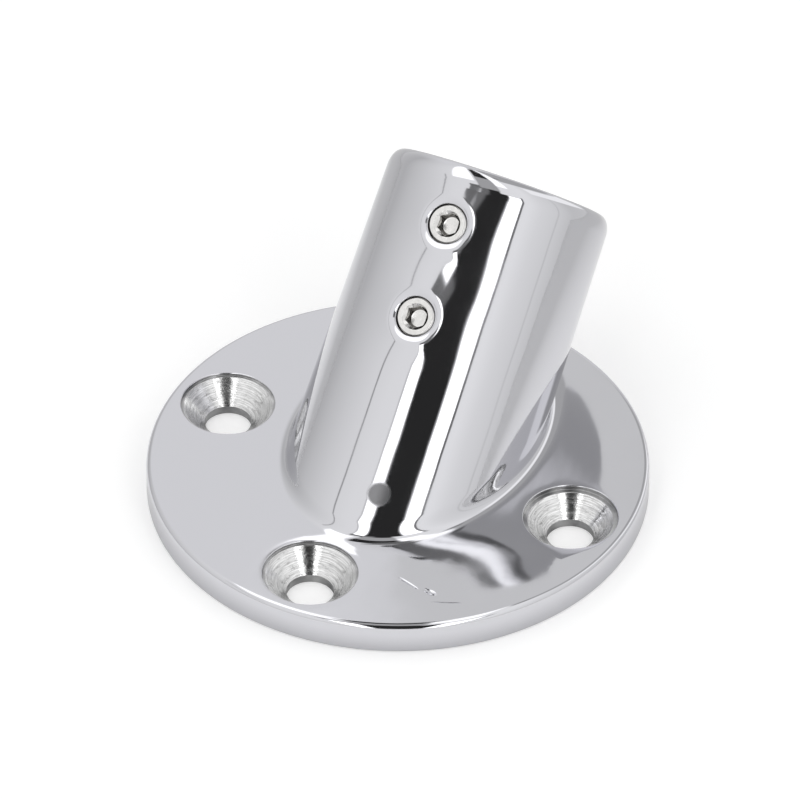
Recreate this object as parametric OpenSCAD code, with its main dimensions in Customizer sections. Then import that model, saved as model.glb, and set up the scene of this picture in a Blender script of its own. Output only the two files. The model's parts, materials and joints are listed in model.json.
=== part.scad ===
// Round base flange with a socket for a leaning tube, cast in one piece and polished.
// The socket leans towards +X. The origin is the centre of the flange's flat underside.

/* [Flange] */
// Diameter of the round flange
flange_d = 75; // [72:1:100]
// Thickness of the flange
flange_t = 5; // [4.5:0.25:7]
// Radius of the flange's rounded upper edge
flange_top_round = 0.8; // [0.4:0.1:1.2]
// Radius of the flange's rounded lower edge
flange_bottom_round = 0.4; // [0.2:0.1:0.8]

/* [Socket] */
// Angle that the socket's axis leans away from upright
lean = 45; // [30:1:46]
// Distance from the flange's centre to where the socket's axis leaves the underside
socket_offset = 1.4; // [-3:0.2:2]
// Length of the socket along its axis, from the underside to the mouth
socket_length = 46.9; // [42:0.5:60]
// Diameter of the tube that the socket takes
tube_d = 25; // [22:0.5:25.5]
// Clearance all round that tube
tube_clearance = 0.2; // [0.1:0.05:0.4]
// Thickness of the socket's wall at its mouth
socket_wall = 4.5; // [3.5:0.25:4.75]
// Draft angle by which the socket widens towards the flange
socket_draft = 1; // [0.25:0.25:1.5]
// Radius of the mouth's rounded outer edge
mouth_round = 1.8; // [0.6:0.2:2.2]
// Width of the bevel on the mouth's inner edge
mouth_bevel = 0.5; // [0.2:0.1:0.8]

/* [Fillet] */
// Radius of the fillet that runs round the foot of the socket
fillet_r = 2.5; // [1:0.25:3.5]

/* [Fixing holes] */
// Diameter of the circle that the three holes lie on
hole_circle_d = 57.2; // [56:0.2:59]
// Diameter of each through hole
hole_d = 7; // [5:0.5:7.5]
// Diameter of the countersink's rim
rim_d = 14.1; // [12.5:0.1:14.4]
// Full angle of the countersink's cone
countersink_angle = 90; // [82:1:100]
// Height of the straight wall below the cone
land_h = 1.35; // [1.2:0.05:2]
// Depth of the rim's straight lip at the left and the rear hole
rim_lip = 0.5; // [0.3:0.1:0.8]
// Depth of the same lip at the right hole, which is sunk further
deep_rim_lip = 0.8; // [0.5:0.1:1]

/* [Set screws] */
// Outer diameter of the set screws' thread
screw_d = 6; // [5:1:6]
// Gap all round between a set screw and its hole
screw_clearance = 0.05; // [0.02:0.01:0.1]
// Distance along the socket from the mouth to the upper set screw
screw_from_mouth = 9.3; // [8:0.1:11]
// Distance between the two set screws
screw_spacing = 14.5; // [12:0.5:16]
// Depth of a set screw's face below the socket's surface
screw_inset = 0.3; // [0.1:0.05:0.5]
// Distance by which a set screw's tip stops short of the bore
screw_tip_gap = 0.2; // [0.1:0.05:0.5]
// Width of a set screw's bevelled ends
screw_bevel = 0.5; // [0.3:0.1:0.7]
// Width across the flats of the hexagon socket
key_w = 3; // [2.5:0.1:3.2]
// Thickness left between the bottom of the hexagon socket and the hollow in the tip
key_web = 0.25; // [0.15:0.05:0.6]
// Margin by which the drilled hole below the hexagon socket stays inside its flats
key_drill_margin = 0.05; // [0.02:0.01:0.1]
// Width of the bevel round the hexagon socket's mouth
key_bevel = 0.2; // [0.1:0.05:0.3]
// Diameter of the hollow in a set screw's tip
cup_d = 3; // [2:0.25:3.5]
// Width of the bevel at the mouth of a set screw's hole
screw_hole_bevel = 0.15; // [0.05:0.05:0.3]

/* [Hidden] */

$fn = 96;
// Length by which a cutter runs past the surface that it cuts
past = 1;

flange_r = flange_d/2;
bore_r = tube_d/2 + tube_clearance;
mouth_r = bore_r + socket_wall;
draft_slope = tan(socket_draft);
// Lowest station of the socket's blank, deep enough to pass the underside all round
blank_from = -(mouth_r + past)*tan(lean) - past;
// Half size of the block that trims what hangs below the underside
trim_half = flange_d + socket_length;

hole_r = hole_d/2;
cone_slope = tan(countersink_angle/2);
// Each hole is given as the angle from the lean's direction and the depth of its lip
holes = [[90, rim_lip], [180, rim_lip], [270, deep_rim_lip]];

screw_r = screw_d/2;
screw_hole_r = screw_r + screw_clearance;
screw_length = socket_wall - screw_inset - screw_tip_gap;
upper_screw_at = socket_length - screw_from_mouth;
lower_screw_at = upper_screw_at - screw_spacing;
hexagon = 6;
// Radius to the corners of the hexagon socket
key_corner_r = key_w/2/cos(180/hexagon);
// Full angle of the drill point below the hexagon socket and of the hollow in the tip
drill_angle = 120;
key_drill_r = key_w/2 - key_drill_margin;
drill_point_h = key_drill_r/tan(drill_angle/2);
cup_h = cup_d/2/tan(drill_angle/2);
key_depth = screw_length - drill_point_h - cup_h - key_web;

// Radius of the socket's outside at a station along its axis
function socket_r(s) = mouth_r + (socket_length - s)*draft_slope;

// Directions of the leaning socket: along its axis, and out of it at angle a from the downhill side
along = [sin(lean), 0, cos(lean)];
function out(a) = cos(a)*[cos(lean), 0, -sin(lean)] + sin(a)*[0, 1, 0];
// Outward normal of the drafted wall
function wall_normal(a) = cos(socket_draft)*out(a) + sin(socket_draft)*along;
function on_socket(s, a) = [socket_offset, 0, 0] + s*along + socket_r(s)*out(a);

// The fillet is the path of a ball that rolls round the foot, touching the flange and the wall.
// It is sunk by a hair into both, so that its edges run under their surfaces.
fillet_sink = 0.03;
// Number of stations round the foot and of steps across the fillet
fillet_stations = 72;
fillet_steps = 8;
// Depth of the fillet's hidden inner corner below both surfaces
fillet_root = 0.8;
// Distance that the fillet keeps from the flange's rounded edge
fillet_margin = 0.05;
fillet_least_r = 0.3;
// Sharpness with which the two limits of the radius blend
limit_power = 4;

// Station on the wall that is touched by a ball of radius r, which rests on the flange, at angle a
function touch_station(r, a) =
    let (up = out(a)[2], lift = r*(1 - wall_normal(a)[2]))
    (flange_t + lift - (mouth_r + socket_length*draft_slope)*up)/(cos(lean) - draft_slope*up);
function ball_centre(r, a) = on_socket(touch_station(r, a), a) + r*wall_normal(a);
function flat_part(p) = [p[0], p[1]];

// Largest ball whose footprint stays on the flange's flat top, from a quadratic in its radius
function roomy_r(a) =
    let (
        foot = flat_part(ball_centre(0, a)),
        spread = flat_part(ball_centre(1, a)) - foot,
        limit = flange_r - flange_top_round - fillet_margin,
        half_b = foot*spread,
        inside = half_b*half_b + spread*spread*(limit*limit - foot*foot)
    )
    inside <= 0 ? fillet_least_r
        : max(fillet_least_r, (-half_b + sqrt(inside))/(spread*spread));
function ball_r(a) = pow(pow(fillet_r, -limit_power) + pow(roomy_r(a), -limit_power), -1/limit_power);

// Point of the fillet at angle a, a share t of the way from the flange up to the wall
function fillet_point(a, t) =
    let (
        r = ball_r(a),
        n = wall_normal(a),
        turn = acos(n[2]),
        down = (sin((1 - t)*turn)*[0, 0, 1] + sin(t*turn)*n)/sin(turn)
    )
    ball_centre(r - fillet_sink, a) - r*down;
// Hidden corner of the fillet's section, inside both the flange and the wall
function root_point(a) = ball_centre(0, a) - fillet_root*out(a) - [0, 0, fillet_root];

module foot_fillet() {
    per_ring = fillet_steps + 2;
    points = [for (i = [0:fillet_stations - 1])
        let (a = 360*i/fillet_stations)
        each concat([for (j = [0:fillet_steps]) fillet_point(a, j/fillet_steps)], [root_point(a)])];
    faces = [for (i = [0:fillet_stations - 1], j = [0:per_ring - 1])
        let (
            here = i*per_ring,
            next = ((i + 1) % fillet_stations)*per_ring,
            k = (j + 1) % per_ring
        )
        each [[here + j, next + k, next + j], [here + j, here + k, next + k]]];
    polyhedron(points, faces);
}

// Half section of the flange, with a round at its upper and its lower edge
module flange_section() {
    square([flange_r - flange_top_round, flange_t]);
    square([flange_r - flange_bottom_round, flange_t - flange_top_round]);
    translate([0, flange_bottom_round])
        square([flange_r, flange_t - flange_top_round - flange_bottom_round]);
    translate([flange_r - flange_top_round, flange_t - flange_top_round])
        circle(flange_top_round);
    translate([flange_r - flange_bottom_round, flange_bottom_round])
        circle(flange_bottom_round);
}

// Half section of the socket's blank, drafted, with a round at the mouth's outer edge
module socket_section() {
    round_z = socket_length - mouth_round;
    round_x = socket_r(round_z) - mouth_round/cos(socket_draft);
    polygon([
        [0, blank_from],
        [socket_r(blank_from), blank_from],
        [round_x + mouth_round*cos(socket_draft), round_z + mouth_round*sin(socket_draft)],
        [round_x, socket_length],
        [0, socket_length]
    ]);
    translate([round_x, round_z]) circle(mouth_round);
}

// Places what follows on the socket's axis
module on_axis() {
    translate([socket_offset, 0, 0]) rotate([0, lean, 0]) children();
}

// Places what follows at a station of the socket, pointing out of its uphill side
module at_screw(station) {
    on_axis() translate([0, 0, station]) rotate([0, -90, 0]) children();
}

module socket_blank() {
    difference() {
        on_axis() rotate_extrude() socket_section();
        translate([-trim_half, -trim_half, -2*trim_half]) cube(2*trim_half);
    }
}

module socket_bore() {
    on_axis() {
        translate([0, 0, blank_from - past])
            cylinder(r = bore_r, h = socket_length - blank_from + 2*past);
        translate([0, 0, socket_length - mouth_bevel])
            cylinder(r1 = bore_r, r2 = bore_r + mouth_bevel + past, h = mouth_bevel + past);
    }
}

// Through hole, cone and straight lip of one fixing hole
module fixing_hole(lip) {
    cone_h = flange_t - lip - land_h;
    translate([0, 0, -past]) cylinder(r = hole_r, h = flange_t + past);
    translate([0, 0, land_h])
        cylinder(r1 = hole_r, r2 = hole_r + cone_h*cone_slope, h = cone_h);
    translate([0, 0, flange_t - lip]) cylinder(d = rim_d, h = lip + past);
}

module screw_hole(station) {
    surface = socket_r(station);
    at_screw(station) {
        cylinder(r = screw_hole_r, h = surface + past);
        translate([0, 0, surface - screw_hole_bevel])
            cylinder(r1 = screw_hole_r, r2 = screw_hole_r + screw_hole_bevel + past,
                h = screw_hole_bevel + past);
    }
}

module base_casting() {
    color("gainsboro") difference() {
        union() {
            rotate_extrude() flange_section();
            socket_blank();
            foot_fillet();
        }
        socket_bore();
        for (h = holes) rotate(h[0]) translate([hole_circle_d/2, 0, 0]) fixing_hole(h[1]);
        screw_hole(upper_screw_at);
        screw_hole(lower_screw_at);
    }
}

// Headless set screw with a hexagon socket in its face and a hollow in its tip
module set_screw(station) {
    face = socket_r(station) - screw_inset;
    color("silver") at_screw(station) translate([0, 0, face - screw_length]) difference() {
        union() {
            cylinder(r1 = screw_r - screw_bevel, r2 = screw_r, h = screw_bevel);
            translate([0, 0, screw_bevel]) cylinder(r = screw_r, h = screw_length - 2*screw_bevel);
            translate([0, 0, screw_length - screw_bevel])
                cylinder(r1 = screw_r, r2 = screw_r - screw_bevel, h = screw_bevel);
        }
        translate([0, 0, screw_length - key_depth])
            cylinder(r = key_corner_r, h = key_depth + past, $fn = hexagon);
        translate([0, 0, screw_length - key_depth - drill_point_h])
            cylinder(r1 = 0, r2 = key_drill_r, h = drill_point_h);
        translate([0, 0, screw_length - key_bevel])
            cylinder(r1 = key_corner_r, r2 = key_corner_r + key_bevel + past, h = key_bevel + past);
        translate([0, 0, -past]) cylinder(r1 = cup_d/2 + past*cup_d/2/cup_h, r2 = 0, h = cup_h + past);
    }
}

module upper_set_screw() { set_screw(upper_screw_at); }
module lower_set_screw() { set_screw(lower_screw_at); }

base_casting();
upper_set_screw();
lower_set_screw();
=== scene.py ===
"""Visual model of a tube clamp base flange: a polished casting and its two set screws.

Sizes are in millimetres until a mesh is made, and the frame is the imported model's own:
+Z up out of the flange, the socket leaning towards +X.
"""

import json
import math

import bpy
import mathutils
import numpy as np
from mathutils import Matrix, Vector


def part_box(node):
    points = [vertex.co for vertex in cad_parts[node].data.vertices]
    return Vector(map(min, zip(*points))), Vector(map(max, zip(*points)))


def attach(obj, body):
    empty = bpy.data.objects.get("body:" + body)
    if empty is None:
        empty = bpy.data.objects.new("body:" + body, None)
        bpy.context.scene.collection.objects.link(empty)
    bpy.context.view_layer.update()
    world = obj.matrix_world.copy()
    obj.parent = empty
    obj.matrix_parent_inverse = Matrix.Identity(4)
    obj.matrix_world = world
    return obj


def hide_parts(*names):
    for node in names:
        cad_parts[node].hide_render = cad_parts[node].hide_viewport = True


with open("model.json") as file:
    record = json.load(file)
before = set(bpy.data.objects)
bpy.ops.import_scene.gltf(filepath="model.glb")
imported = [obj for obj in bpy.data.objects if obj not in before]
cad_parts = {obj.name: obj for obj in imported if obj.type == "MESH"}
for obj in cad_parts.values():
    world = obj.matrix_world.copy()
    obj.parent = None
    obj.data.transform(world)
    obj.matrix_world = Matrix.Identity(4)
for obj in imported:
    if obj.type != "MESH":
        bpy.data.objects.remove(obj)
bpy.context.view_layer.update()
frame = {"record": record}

METRES = 0.001

# Main sizes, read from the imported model
mounts = {m["name"]: m for m in frame["record"]["mounts"]}
socket_axis = mounts["tube_socket"]["axis"]
socket_point = [value / METRES for value in mounts["tube_socket"]["pos_m"]]
LEAN = math.atan2(socket_axis[0], socket_axis[2])
SOCKET_OFFSET = socket_point[0] - socket_point[2] * math.tan(LEAN)
BORE_R = mounts["tube_socket"]["dims"]["r_mm"]
HOLE_CIRCLE_R = mounts["side_fixing_holes"]["dims"]["spacing_y_mm"] / 2
HOLE_R = mounts["side_fixing_holes"]["dims"]["hole_r_mm"]
FLANGE_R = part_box("base_casting")[1][1] / METRES

# Sizes that the record doesn't hold, as in the part's source
FLANGE_T = 5.0
FLANGE_TOP_ROUND = 0.8
FLANGE_BOTTOM_ROUND = 0.4
SOCKET_LENGTH = 46.9
# A hair under the source's wall of 4.5 mm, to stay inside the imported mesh's facets
MOUTH_R = BORE_R + 4.495
DRAFT = math.radians(1.0)
MOUTH_ROUND = 1.8
# The buffed lip is oval: this many times as long down the wall as across the mouth
LIP_STRETCH = 1.6
MOUTH_BEVEL = 0.5
FILLET_R = 2.5
FILLET_MARGIN = 0.05
FILLET_LEAST_R = 0.3
LIMIT_POWER = 4
RIM_R = 7.05
LAND_H = 1.35
SCREW_R = 3.0
SCREW_HOLE_R = 3.05
UPPER_SCREW_AT = 37.6
LOWER_SCREW_AT = 23.1
SCREW_INSET = 0.3
SCREW_LENGTH = 4.0

SCREW_BEVEL = 0.3
KEY_FLAT_R = 1.5
KEY_BEVEL = 0.3
KEY_DRILL_R = 1.45
KEY_WEB = 0.25
CUP_R = 1.5
# The rings of a set screw between which its hexagon's walls lie, which take a darker steel as painted shade
KEY_WALL_RINGS = range(2, 5)
# Depth of a drill point for each millimetre of its radius, at a full angle of 120 degrees
DRILL_SLOPE = 1 / math.tan(math.radians(60))
KEY_DEPTH = SCREW_LENGTH - (KEY_DRILL_R + CUP_R) * DRILL_SLOPE - KEY_WEB
KEY_FLOOR_SLOPE, KEY_FLOOR_R = 0.15, 1.3

# Each fixing hole: its angle from the lean's direction and the depth of its rim's lip
FIXING_HOLES = [(90, 0.5), (180, 0.5), (270, 0.8)]
SCREW_STATIONS = [UPPER_SCREW_AT, LOWER_SCREW_AT]

# The softening that the buffing wheel leaves: a dish round each screw hole and a roll-off at each rim
EDGE_ROUND = 0.12
# Each is a width, a depth and the power of its curve
SCREW_DISH = (1.6, 0.4, 2)
RIM_DISH = (1.6, 0.05, 2.5)
# The wall stands a little proud round each screw, and in a small lump that the wheel left beside each:
# a lump is a station, a place sideways, a height and a width
LUMPS = [(UPPER_SCREW_AT, 0.0, 0.45, 4.5), (LOWER_SCREW_AT, 0.0, 0.45, 4.5),
         (33.4, -3.3, 0.1, 1.2), (19.0, -2.6, 0.1, 1.4)]
# How far above the fillet the wall starts to bend, the same on the uphill side, the power that blends
# the two, and how far the fillet runs out over the flange
SOFT_RUN, SOFT_RUN_UPHILL, SOFT_POWER, SOFT_OUT = 3.0, 1.6, 6, 0.35
# How deep the neck is that the wheel cut above the fillet, and where the fillet's guide points lie
# between its ends and the sharp corner
WAIST = 0.45
GUIDES = (0.0, 0.4, 0.85, 0.93, 0.55, 0.0)

# The flange's top, warped by the hand polish between the socket and the right hole: where, the twist
# of its saddle and its width
WARP_AT, WARP_TWIST, WARP_WIDTH = (-14.0, -24.5), 0.006, 8.0
# The foot that the fillet spreads toward the front hole: where, its rise, its width along X and breadth
# along Y, and the power that keeps it off the steeper parts of the fillet
HEAP_AT, HEAP_RISE, HEAP_WIDTH, HEAP_BREADTH, HEAP_POWER = (-18.3, 0.3), 0.25, 2.2, 4.0, 4

# A small dull spot on the uphill wall near the foot, where the polish didn't take: station, place
# sideways, radius and softness
DULL_SPOT_AT, DULL_SPOT_R, DULL_SPOT_SOFT = (-3.5, -3.75), 1.75, 0.7

# How deep a tool's marks are, where they only roughen the steel
MARK_DEPTH = 0.01
# Nicks in the flange's polish in front of the socket: each one's middle, its turn in degrees, and half
# its length and width. A nick's side lies at a share of those halves, and is that soft
NICKS = [((-24.2, -13.9), -106, (2.3, 0.3)), ((-24.5, -17.6), -100, (1.3, 0.6)),
         ((-25.5, -20.8), -66, (2.4, 0.13))]
NICK_DEPTH, NICK_SIDE, NICK_SOFT = 0.04, 0.6, 0.8

# Directions of the leaning socket
ALONG = np.array([math.sin(LEAN), 0.0, math.cos(LEAN)])
DOWNHILL = np.array([math.cos(LEAN), 0.0, -math.sin(LEAN)])
SIDEWAYS = np.array([0.0, 1.0, 0.0])
UPWARD = np.array([0.0, 0.0, 1.0])
SOCKET_FOOT = np.array([SOCKET_OFFSET, 0.0, 0.0])
UPHILL = -DOWNHILL

# Small radius that a cutting tool leaves in a corner, and widths of the plain strips beside edges
TOOL_R = 0.08
HOLE_MARGIN = 0.5
PATCH_MARGIN = 0.4
MOUTH_MARGIN = 0.3
UNDER_EDGE = 0.2
TOP_EDGE, BOTTOM_EDGE = 0.0005, 0.01
# A step small enough to take a slope with, and a smallest value that keeps a divisor above 0
HAIR, LEAST = 1e-4, 1e-9

# The set screw's coarse M6 thread, the softness of its crests and roots, and its rings
THREAD_PITCH, THREAD_DEPTH, THREAD_SOFT = 1.0, 0.54, 0.97
THREAD_FADE = 0.4
THREAD_RINGS = 56
# The softened corners and edges of its hexagon socket, and the points on each of the socket's flats
KEY_CORNER, KEY_EDGE, KEY_POINTS = 0.1, 0.04, 9

# The casting's mesh: columns round it, cells left open for a hole's patch, and half their reach along
# the socket, outside and in the bore
COLUMNS = 288
HOLE_ROWS = 24
SCREW_ROWS, SCREW_COLUMNS = 24, 32
SCREW_BLOCK, BORE_BLOCK = 5.9, 4.3
# Rows of its bands, from the mouth down the wall, over the fillet and the flange, and up the bore, and
# the shares of the way across the flange's top and underside at which the bands there meet
WALL_ROWS, FILLET_ROWS = [1, SCREW_ROWS, 3, SCREW_ROWS, 22], 28
BORE_ROWS = [12, SCREW_ROWS, 4, SCREW_ROWS, 2]
TOP_STOPS, TOP_ROWS = [0, 0.008, 0.98, 1], [1, HOLE_ROWS, 1]
UNDER_STOPS, UNDER_ROWS = [0, 0.05, 0.75, 1], [1, HOLE_ROWS, 4]
# Steps of its arcs: at the mouth, round the flange's edges, down a fixing hole, and where bores end
MOUTH_STEPS, RIM_STEPS, HOLE_STEPS, SCREW_HOLE_STEPS, UNDER_STEPS = [2, 2, 16], [8, 5], [3] * 4, 3, 4
# Rings of a hole's patch: between the cells left open and its dish, and in the dish, where a power
# crowds a screw hole's towards its edge
THIRDS = (1 / 3, 2 / 3)
RIM_RINGS, DISH_RINGS, DISH_POWER = 4, 12, 1.3
RIM_ROUND_STEPS, DISH_ROUND_STEPS = 4, 5

# Material slots of the casting, and the length once round of the machined faces' UV map
POLISHED, TURNED, GROUND, DRILLED = range(4)
CUT_TURN = 2 * math.pi * RIM_R
CUT_MAP = "cut"


def unit(vectors):
    """Vectors over their lengths."""
    return vectors / np.linalg.norm(vectors, axis=-1, keepdims=True)


def blend(first, second, share):
    """first + (second - first) * share."""
    return first + (second - first) * share


def spaced(stops, counts):
    """Numbers from each stop to the next, in a count of even steps."""
    runs = [np.linspace(*ends, count, endpoint=False) for *ends, count in zip(stops, stops[1:], counts)]
    return np.append(np.concatenate(runs), stops[-1])


def rounded_profile(corners, radii, steps):
    """Points and left-hand normals of a 2-D path whose inner corners are arcs.

    An arc of radius r starts r * tan(turn / 2) before its corner, and its points are the centre less
    r times the path's normal, turned evenly from one edge's direction to the next.
    """
    corners = np.array(corners, float)
    first = unit(corners[1] - corners[0])
    points, normals = [corners[0]], [[-first[1], first[0]]]
    for before, corner, after, radius, count in zip(corners, corners[1:], corners[2:], radii, steps):
        into, out_of = unit(corner - before), unit(after - corner)
        turn = math.atan2(into[0] * out_of[1] - into[1] * out_of[0], into @ out_of)
        side = math.copysign(1.0, turn)
        left = np.array([-into[1], into[0]])
        centre = corner - into * radius * math.tan(abs(turn) / 2) + side * radius * left
        for angle in np.linspace(0, turn, count + 1):
            normal = left * math.cos(angle) - into * math.sin(angle)
            points.append(centre - side * radius * normal)
            normals.append(normal)
    last = unit(corners[-1] - corners[-2])
    points.append(corners[-1])
    normals.append([-last[1], last[0]])
    return np.array(points), np.array(normals)


def out_of_socket(angle):
    """Direction square to the socket's axis, at an angle from its downhill side."""
    return np.cos(angle)[..., None] * DOWNHILL + np.sin(angle)[..., None] * SIDEWAYS


def round_flange(angle):
    """Level direction at an angle from the lean's direction."""
    return np.stack([np.cos(angle), np.sin(angle), np.zeros_like(angle)], -1)


def hole_centre(hole_angle):
    """Middle of a fixing hole, at the underside."""
    return HOLE_CIRCLE_R * round_flange(np.radians(hole_angle))


def socket_r(station):
    """Radius of the drafted outside at a station along the socket's axis."""
    return MOUTH_R + (SOCKET_LENGTH - station) * math.tan(DRAFT)


def wall_normal(angle):
    """Outward normal of the drafted wall."""
    return math.cos(DRAFT) * out_of_socket(angle) + math.sin(DRAFT) * ALONG


def on_wall(station, angle):
    """Point of the undished wall."""
    reach = socket_r(station)[..., None] * out_of_socket(angle)
    return SOCKET_FOOT + station[..., None] * ALONG + reach


def sunk(past_edge, width, depth, power):
    """Depth of a buffed edge and its slope, at a distance past the edge.

    The depth is depth * (1 - x / width) ^ power, plus the quarter round of radius EDGE_ROUND, which
    is EDGE_ROUND - sqrt(EDGE_ROUND ^ 2 - (EDGE_ROUND - x) ^ 2).
    """
    share = np.clip(1 - past_edge / width, 0, 1)
    inside = np.clip(EDGE_ROUND - past_edge, 0, EDGE_ROUND * (1 - LEAST))
    root = np.sqrt(EDGE_ROUND**2 - inside**2)
    fall = depth * share**power + EDGE_ROUND - root
    slope = -depth * power / width * share ** (power - 1) - inside / root
    return fall, slope


def buffed(points, normals, centre, axis, edge_r, dish):
    """Points and normals of a surface that is sunk towards a hole's edge, along the hole's axis.

    A point at the distance q from the axis drops by fall(q - edge_r) * (normal . axis), and its
    normal gains (normal . axis) * fall' * the level direction away from the axis.
    """
    offset = points - centre
    level = offset - (offset @ axis)[..., None] * axis
    distance = np.maximum(np.linalg.norm(level, axis=-1), LEAST)
    facing = normals @ axis
    near = ((facing > 0) & (distance < edge_r + dish[0]))[..., None]
    fall, slope = sunk(distance - edge_r, *dish)
    moved = points - (fall * facing)[..., None] * axis
    tilted = unit(normals + (facing * slope / distance)[..., None] * level)
    return np.where(near, moved, points), np.where(near, tilted, normals)


def swollen(points, normals):
    """Points and normals of the wall, raised along the screws' axis by its lumps.

    A lump adds height * exp(-(distance / width) ^ 2), where the distance is from the lump's own axis.
    """
    facing = np.maximum(normals @ UPHILL, 0)[..., None]
    level = points - SOCKET_FOOT
    rise, slope = np.zeros_like(facing), np.zeros_like(points)
    for station, sideways, height, width in LUMPS:
        away = level - station * ALONG - sideways * SIDEWAYS
        away = away - (away @ UPHILL)[..., None] * UPHILL
        lift = height * np.exp(-((away**2).sum(-1) / width**2))[..., None]
        rise, slope = rise + lift, slope - 2 * lift * away / width**2
    return points + facing * rise * UPHILL, unit(normals - facing * slope)


def wall(station, angle):
    """Wall points and normals, swollen and then buffed round both screw holes."""
    points = on_wall(station, angle)
    points, normals = swollen(points, wall_normal(angle))
    for screw_station in SCREW_STATIONS:
        centre = SOCKET_FOOT + screw_station * ALONG
        points, normals = buffed(points, normals, centre, UPHILL, SCREW_HOLE_R, SCREW_DISH)
    return points, normals


def flange_top(points, normals):
    """Points and normals of the flange's upper side, warped, and then buffed round the fixing holes.

    The warp is a saddle that fades out, twist * x * y * exp(-(x ^ 2 + y ^ 2) / width ^ 2). The foot of
    the fillet spreads as a low heap, rise * exp(-(x / width) ^ 2 - (y / breadth) ^ 2). Both fade where
    the surface turns away from upward, and each of their slopes is [d/dx, d/dy, 0].
    """
    facing = np.maximum(normals @ UPWARD, 0)[..., None]
    x, y = (points[..., side] - WARP_AT[side] for side in (0, 1))
    fade = WARP_TWIST * np.exp(-(x**2 + y**2) / WARP_WIDTH**2)
    warp = fade * x * y
    warp_slope = [fade * y * (1 - 2 * x**2 / WARP_WIDTH**2), fade * x * (1 - 2 * y**2 / WARP_WIDTH**2)]
    x, y = (points[..., side] - HEAP_AT[side] for side in (0, 1))
    heap = HEAP_RISE * np.exp(-((x / HEAP_WIDTH) ** 2) - (y / HEAP_BREADTH) ** 2)
    heap_slope = [-2 * heap * x / HEAP_WIDTH**2, -2 * heap * y / HEAP_BREADTH**2]
    for rise, slope, share in ((warp, warp_slope, facing), (heap, heap_slope, facing**HEAP_POWER)):
        points = points + share * rise[..., None] * UPWARD
        normals = normals - share * np.stack([*slope, np.zeros_like(x)], -1)
    normals = unit(normals)
    for hole_angle, _ in FIXING_HOLES:
        points, normals = buffed(points, normals, hole_centre(hole_angle), UPWARD, RIM_R, RIM_DISH)
    return points, normals


def touch_station(radius, angle):
    """Station at which a ball of that radius, resting on the flange, touches the wall."""
    upward = out_of_socket(angle) @ UPWARD
    lift = radius * (1 - wall_normal(angle) @ UPWARD)
    top = MOUTH_R + SOCKET_LENGTH * math.tan(DRAFT)
    return (FLANGE_T + lift - top * upward) / (math.cos(LEAN) - math.tan(DRAFT) * upward)


def ball_centre(radius, angle):
    """Centre of that ball."""
    return on_wall(touch_station(radius, angle), angle) + radius[..., None] * wall_normal(angle)


def ball_r(angle):
    """The fillet's radius, kept smoothly below the largest ball that fits on the flange's flat top.

    That largest radius solves |foot + r * spread| = the flat top's radius, a quadratic in r.
    """
    foot = ball_centre(np.zeros_like(angle), angle)[..., :2]
    spread = ball_centre(np.ones_like(angle), angle)[..., :2] - foot
    limit = FLANGE_R - FLANGE_TOP_ROUND - FILLET_MARGIN
    half_b = (foot * spread).sum(-1)
    square = (spread * spread).sum(-1)
    inside = half_b**2 + square * (limit**2 - (foot * foot).sum(-1))
    roomy = np.maximum(FILLET_LEAST_R, (-half_b + np.sqrt(np.maximum(inside, 0))) / square)
    return (FILLET_R**-LIMIT_POWER + roomy**-LIMIT_POWER) ** (-1 / LIMIT_POWER)


def soft_run(angle):
    """How far above the fillet the wall starts to bend, SOFT_RUN or less on the uphill side."""
    uphill = (0.5 - 0.5 * np.cos(angle)) ** SOFT_POWER
    return blend(SOFT_RUN, SOFT_RUN_UPHILL, uphill)


def fillet(angle, share):
    """Points of the fillet, a share of the way up from flange to wall.

    It is the curve with six guide points p, sum of C(5, i) * share^i * (1 - share)^(5 - i) * p[i]. It
    ends SOFT_OUT beyond where the rolling ball meets the flange, or less where the flange's edge is
    near, and soft_run above where the ball meets the wall. Its other guide points lie on the lines from
    there to the sharp corner, three to a line, so that it leaves both the flange and the wall without
    a jump in its curvature. The one next to the corner on the wall's side is WAIST inside the wall,
    for the slight neck that the wheel cut above the fillet.
    """
    radius = ball_r(angle)
    corner = ball_centre(np.zeros_like(angle), angle)
    low = ball_centre(radius, angle) - radius[..., None] * UPWARD
    room = FLANGE_R - FLANGE_TOP_ROUND - np.linalg.norm(low[..., :2], axis=-1)
    further = SOFT_OUT * (1 - np.exp(-(room / SOFT_OUT) ** 2))
    low = low + further[..., None] * unit(low - corner)
    high = on_wall(touch_station(radius, angle) + soft_run(angle), angle)
    points = 0
    degree = len(GUIDES) - 1
    for place, toward in enumerate(GUIDES):
        guide = blend(low if place <= degree // 2 else high, corner, toward)
        if place == degree // 2 + 1:
            guide = guide - WAIST * wall_normal(angle)
        weight = math.comb(degree, place) * share**place * (1 - share) ** (degree - place)
        points = points + weight[..., None] * guide
    return points


def fillet_normals(angle, share):
    """Normals of the fillet: its slope up crossed with its slope round, by small steps of each."""
    upward = fillet(angle, np.minimum(share + HAIR, 1)) - fillet(angle, np.maximum(share - HAIR, 0))
    onward = fillet(angle + HAIR, share) - fillet(angle - HAIR, share)
    return unit(np.cross(onward, upward))


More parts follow.
